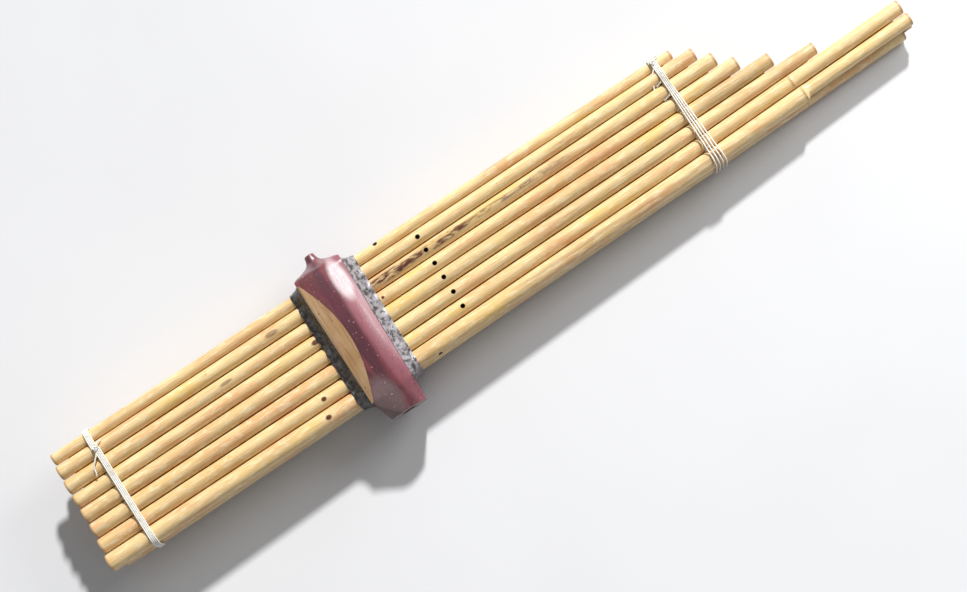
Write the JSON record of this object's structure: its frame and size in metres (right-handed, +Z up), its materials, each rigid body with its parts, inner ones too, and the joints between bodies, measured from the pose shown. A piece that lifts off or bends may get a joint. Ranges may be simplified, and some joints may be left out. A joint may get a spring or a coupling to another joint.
{
  "type": "khaen mouth organ",
  "caption": "Free-reed mouth organ: two rows of bamboo pipes through a carved hardwood wind chest, sealed with wax and bound with cotton cord.",
  "frame": {"origin": "middle of the bounding box's base, on the ground under the wind chest's belly and the longest lower tip", "axes": "+X along the pipes from feet to tips, +Y towards the wind chest's nipple, away from the blow hole, +Z up through the left row of pipes"},
  "size_m": [0.8088, 0.1556, 0.0614],
  "materials": {
    "bamboo": "satin",
    "hardwood": "polished",
    "wax": "satin",
    "bronze": "satin",
    "cotton": "matte"
  },
  "bodies": {
    "root": {"wind_chest": "hardwood", "left_pipe_1": "bamboo", "left_pipe_2": "bamboo", "left_pipe_3": "bamboo", "left_pipe_4": "bamboo", "left_pipe_5": "bamboo", "left_pipe_6": "bamboo", "left_pipe_7": "bamboo", "left_pipe_8": "bamboo", "right_pipe_1": "bamboo", "right_pipe_2": "bamboo", "right_pipe_3": "bamboo", "right_pipe_4": "bamboo", "right_pipe_5": "bamboo", "right_pipe_6": "bamboo", "right_pipe_7": "bamboo", "right_pipe_8": "bamboo", "left_reed_frame_1": "bronze", "left_reed_frame_2": "bronze", "left_reed_frame_3": "bronze", "left_reed_frame_4": "bronze", "left_reed_frame_5": "bronze", "left_reed_frame_6": "bronze", "left_reed_frame_7": "bronze", "left_reed_frame_8": "bronze", "right_reed_frame_1": "bronze", "right_reed_frame_2": "bronze", "right_reed_frame_3": "bronze", "right_reed_frame_4": "bronze", "right_reed_frame_5": "bronze", "right_reed_frame_6": "bronze", "right_reed_frame_7": "bronze", "right_reed_frame_8": "bronze", "lower_wax_seal": "wax", "upper_wax_seal": "wax", "lower_binding": "cotton", "upper_binding": "cotton", "packing_slip": "bamboo"},
    "left_reed_tongue_1_body": {"left_reed_tongue_1": "bronze"},
    "left_reed_tongue_2_body": {"left_reed_tongue_2": "bronze"},
    "left_reed_tongue_3_body": {"left_reed_tongue_3": "bronze"},
    "left_reed_tongue_4_body": {"left_reed_tongue_4": "bronze"},
    "left_reed_tongue_5_body": {"left_reed_tongue_5": "bronze"},
    "left_reed_tongue_6_body": {"left_reed_tongue_6": "bronze"},
    "left_reed_tongue_7_body": {"left_reed_tongue_7": "bronze"},
    "left_reed_tongue_8_body": {"left_reed_tongue_8": "bronze"},
    "right_reed_tongue_1_body": {"right_reed_tongue_1": "bronze"},
    "right_reed_tongue_2_body": {"right_reed_tongue_2": "bronze"},
    "right_reed_tongue_3_body": {"right_reed_tongue_3": "bronze"},
    "right_reed_tongue_4_body": {"right_reed_tongue_4": "bronze"},
    "right_reed_tongue_5_body": {"right_reed_tongue_5": "bronze"},
    "right_reed_tongue_6_body": {"right_reed_tongue_6": "bronze"},
    "right_reed_tongue_7_body": {"right_reed_tongue_7": "bronze"},
    "right_reed_tongue_8_body": {"right_reed_tongue_8": "bronze"}
  },
  "joints": [
    {"name": "left_reed_flex_1", "type": "hinge", "parent": "root", "child": "left_reed_tongue_1_body", "pos_m": [-0.13092, -0.0472, 0.04591], "axis": [0, 1, 0], "range_deg": [-4, 4], "stiffness_Nm_per_rad": 0.0003},
    {"name": "left_reed_flex_2", "type": "hinge", "parent": "root", "child": "left_reed_tongue_2_body", "pos_m": [-0.13095, -0.0322, 0.04471], "axis": [0, 1, 0], "range_deg": [-4, 4], "stiffness_Nm_per_rad": 0.0003},
    {"name": "left_reed_flex_3", "type": "hinge", "parent": "root", "child": "left_reed_tongue_3_body", "pos_m": [-0.13094, -0.0176, 0.04511], "axis": [0, 1, 0], "range_deg": [-4, 4], "stiffness_Nm_per_rad": 0.0003},
    {"name": "left_reed_flex_4", "type": "hinge", "parent": "root", "child": "left_reed_tongue_4_body", "pos_m": [-0.13094, -0.0027, 0.04531], "axis": [0, 1, 0], "range_deg": [-4, 4], "stiffness_Nm_per_rad": 0.0003},
    {"name": "left_reed_flex_5", "type": "hinge", "parent": "root", "child": "left_reed_tongue_5_body", "pos_m": [-0.13098, 0.0116, 0.04392], "axis": [0, 1, 0], "range_deg": [-4, 4], "stiffness_Nm_per_rad": 0.0003},
    {"name": "left_reed_flex_6", "type": "hinge", "parent": "root", "child": "left_reed_tongue_6_body", "pos_m": [-0.131, 0.0249, 0.04331], "axis": [0, 1, 0], "range_deg": [-4, 4], "stiffness_Nm_per_rad": 0.0003},
    {"name": "left_reed_flex_7", "type": "hinge", "parent": "root", "child": "left_reed_tongue_7_body", "pos_m": [-0.13098, 0.0381, 0.04371], "axis": [0, 1, 0], "range_deg": [-4, 4], "stiffness_Nm_per_rad": 0.0003},
    {"name": "left_reed_flex_8", "type": "hinge", "parent": "root", "child": "left_reed_tongue_8_body", "pos_m": [-0.13106, 0.0503, 0.04132], "axis": [0, 1, 0], "range_deg": [-4, 4], "stiffness_Nm_per_rad": 0.0003},
    {"name": "right_reed_flex_1", "type": "hinge", "parent": "root", "child": "right_reed_tongue_1_body", "pos_m": [-0.13187, -0.0478, 0.01423], "axis": [0, 1, 0], "range_deg": [-4, 4], "stiffness_Nm_per_rad": 0.0003},
    {"name": "right_reed_flex_2", "type": "hinge", "parent": "root", "child": "right_reed_tongue_2_body", "pos_m": [-0.1318, -0.0322, 0.01663], "axis": [0, 1, 0], "range_deg": [-4, 4], "stiffness_Nm_per_rad": 0.0003},
    {"name": "right_reed_flex_3", "type": "hinge", "parent": "root", "child": "right_reed_tongue_3_body", "pos_m": [-0.13181, -0.0176, 0.01623], "axis": [0, 1, 0], "range_deg": [-4, 4], "stiffness_Nm_per_rad": 0.0003},
    {"name": "right_reed_flex_4", "type": "hinge", "parent": "root", "child": "right_reed_tongue_4_body", "pos_m": [-0.13181, -0.0027, 0.01603], "axis": [0, 1, 0], "range_deg": [-4, 4], "stiffness_Nm_per_rad": 0.0003},
    {"name": "right_reed_flex_5", "type": "hinge", "parent": "root", "child": "right_reed_tongue_5_body", "pos_m": [-0.13177, 0.0116, 0.01743], "axis": [0, 1, 0], "range_deg": [-4, 4], "stiffness_Nm_per_rad": 0.0003},
    {"name": "right_reed_flex_6", "type": "hinge", "parent": "root", "child": "right_reed_tongue_6_body", "pos_m": [-0.13175, 0.0249, 0.01803], "axis": [0, 1, 0], "range_deg": [-4, 4], "stiffness_Nm_per_rad": 0.0003},
    {"name": "right_reed_flex_7", "type": "hinge", "parent": "root", "child": "right_reed_tongue_7_body", "pos_m": [-0.13177, 0.0381, 0.01763], "axis": [0, 1, 0], "range_deg": [-4, 4], "stiffness_Nm_per_rad": 0.0003},
    {"name": "right_reed_flex_8", "type": "hinge", "parent": "root", "child": "right_reed_tongue_8_body", "pos_m": [-0.13169, 0.0503, 0.02003], "axis": [0, 1, 0], "range_deg": [-4, 4], "stiffness_Nm_per_rad": 0.0003}
  ]
}
